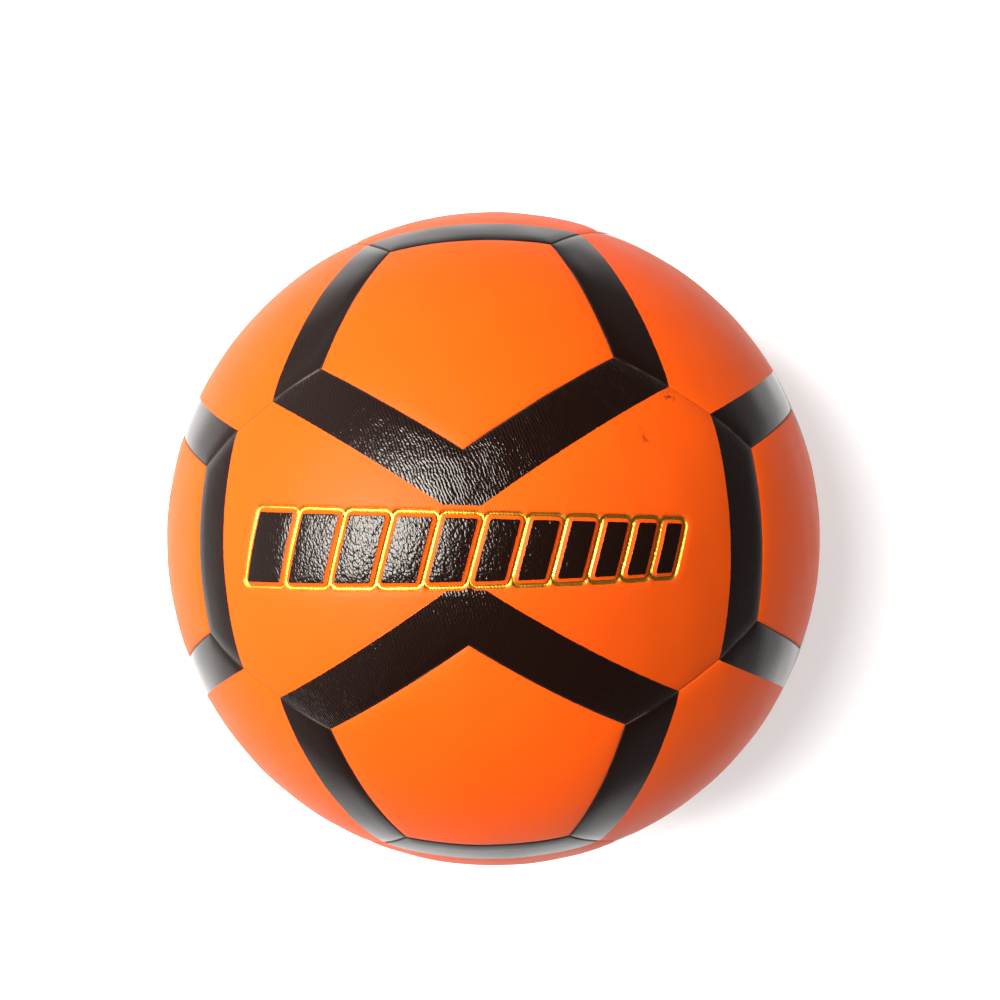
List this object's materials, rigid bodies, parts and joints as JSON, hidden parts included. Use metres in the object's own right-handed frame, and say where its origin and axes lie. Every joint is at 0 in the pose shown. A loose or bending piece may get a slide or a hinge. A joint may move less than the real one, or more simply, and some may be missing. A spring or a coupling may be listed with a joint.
{
  "type": "soccer ball",
  "caption": "Inflated round football with a sewn cover of orange synthetic-leather panels with black bands, cloth linings, a rubber bladder and a needle valve.",
  "frame": {"origin": "centre of the ball", "axes": "+Z out through the middle of the emblem panel, +Y out along the valve, +X along the emblem panel's length"},
  "size_m": [0.2192, 0.2192, 0.2192],
  "materials": {
    "cover_leather": "satin, fine grained synthetic leather, orange with glossier black printed bands",
    "lining_cloth": "matte woven cloth",
    "sewing_thread": "matte waxed thread",
    "bladder_rubber": "satin black butyl",
    "patch_rubber": "matte",
    "valve_rubber": "satin",
    "valve_core_rubber": "satin"
  },
  "bodies": {
    "root": {"emblem_panel": "cover_leather", "valve_panel": "cover_leather", "double_panel_1": "cover_leather", "double_panel_2": "cover_leather", "double_panel_3": "cover_leather", "double_panel_4": "cover_leather", "hexagon_panel_1": "cover_leather", "hexagon_panel_2": "cover_leather", "hexagon_panel_3": "cover_leather", "hexagon_panel_4": "cover_leather", "hexagon_panel_5": "cover_leather", "hexagon_panel_6": "cover_leather", "hexagon_panel_7": "cover_leather", "hexagon_panel_8": "cover_leather", "pentagon_panel_01": "cover_leather", "pentagon_panel_02": "cover_leather", "pentagon_panel_03": "cover_leather", "pentagon_panel_04": "cover_leather", "pentagon_panel_05": "cover_leather", "pentagon_panel_06": "cover_leather", "pentagon_panel_07": "cover_leather", "pentagon_panel_08": "cover_leather", "pentagon_panel_09": "cover_leather", "pentagon_panel_10": "cover_leather", "pentagon_panel_11": "cover_leather", "pentagon_panel_12": "cover_leather", "emblem_lining": "lining_cloth", "valve_lining": "lining_cloth", "double_lining_1": "lining_cloth", "double_lining_2": "lining_cloth", "double_lining_3": "lining_cloth", "double_lining_4": "lining_cloth", "hexagon_lining_1": "lining_cloth", "hexagon_lining_2": "lining_cloth", "hexagon_lining_3": "lining_cloth", "hexagon_lining_4": "lining_cloth", "hexagon_lining_5": "lining_cloth", "hexagon_lining_6": "lining_cloth", "hexagon_lining_7": "lining_cloth", "hexagon_lining_8": "lining_cloth", "pentagon_lining_01": "lining_cloth", "pentagon_lining_02": "lining_cloth", "pentagon_lining_03": "lining_cloth", "pentagon_lining_04": "lining_cloth", "pentagon_lining_05": "lining_cloth", "pentagon_lining_06": "lining_cloth", "pentagon_lining_07": "lining_cloth", "pentagon_lining_08": "lining_cloth", "pentagon_lining_09": "lining_cloth", "pentagon_lining_10": "lining_cloth", "pentagon_lining_11": "lining_cloth", "pentagon_lining_12": "lining_cloth", "seam_thread": "sewing_thread", "bladder": "bladder_rubber", "valve_patch": "patch_rubber", "balance_patch": "patch_rubber", "valve_housing": "valve_rubber", "valve_core": "valve_core_rubber"}
  },
  "joints": []
}
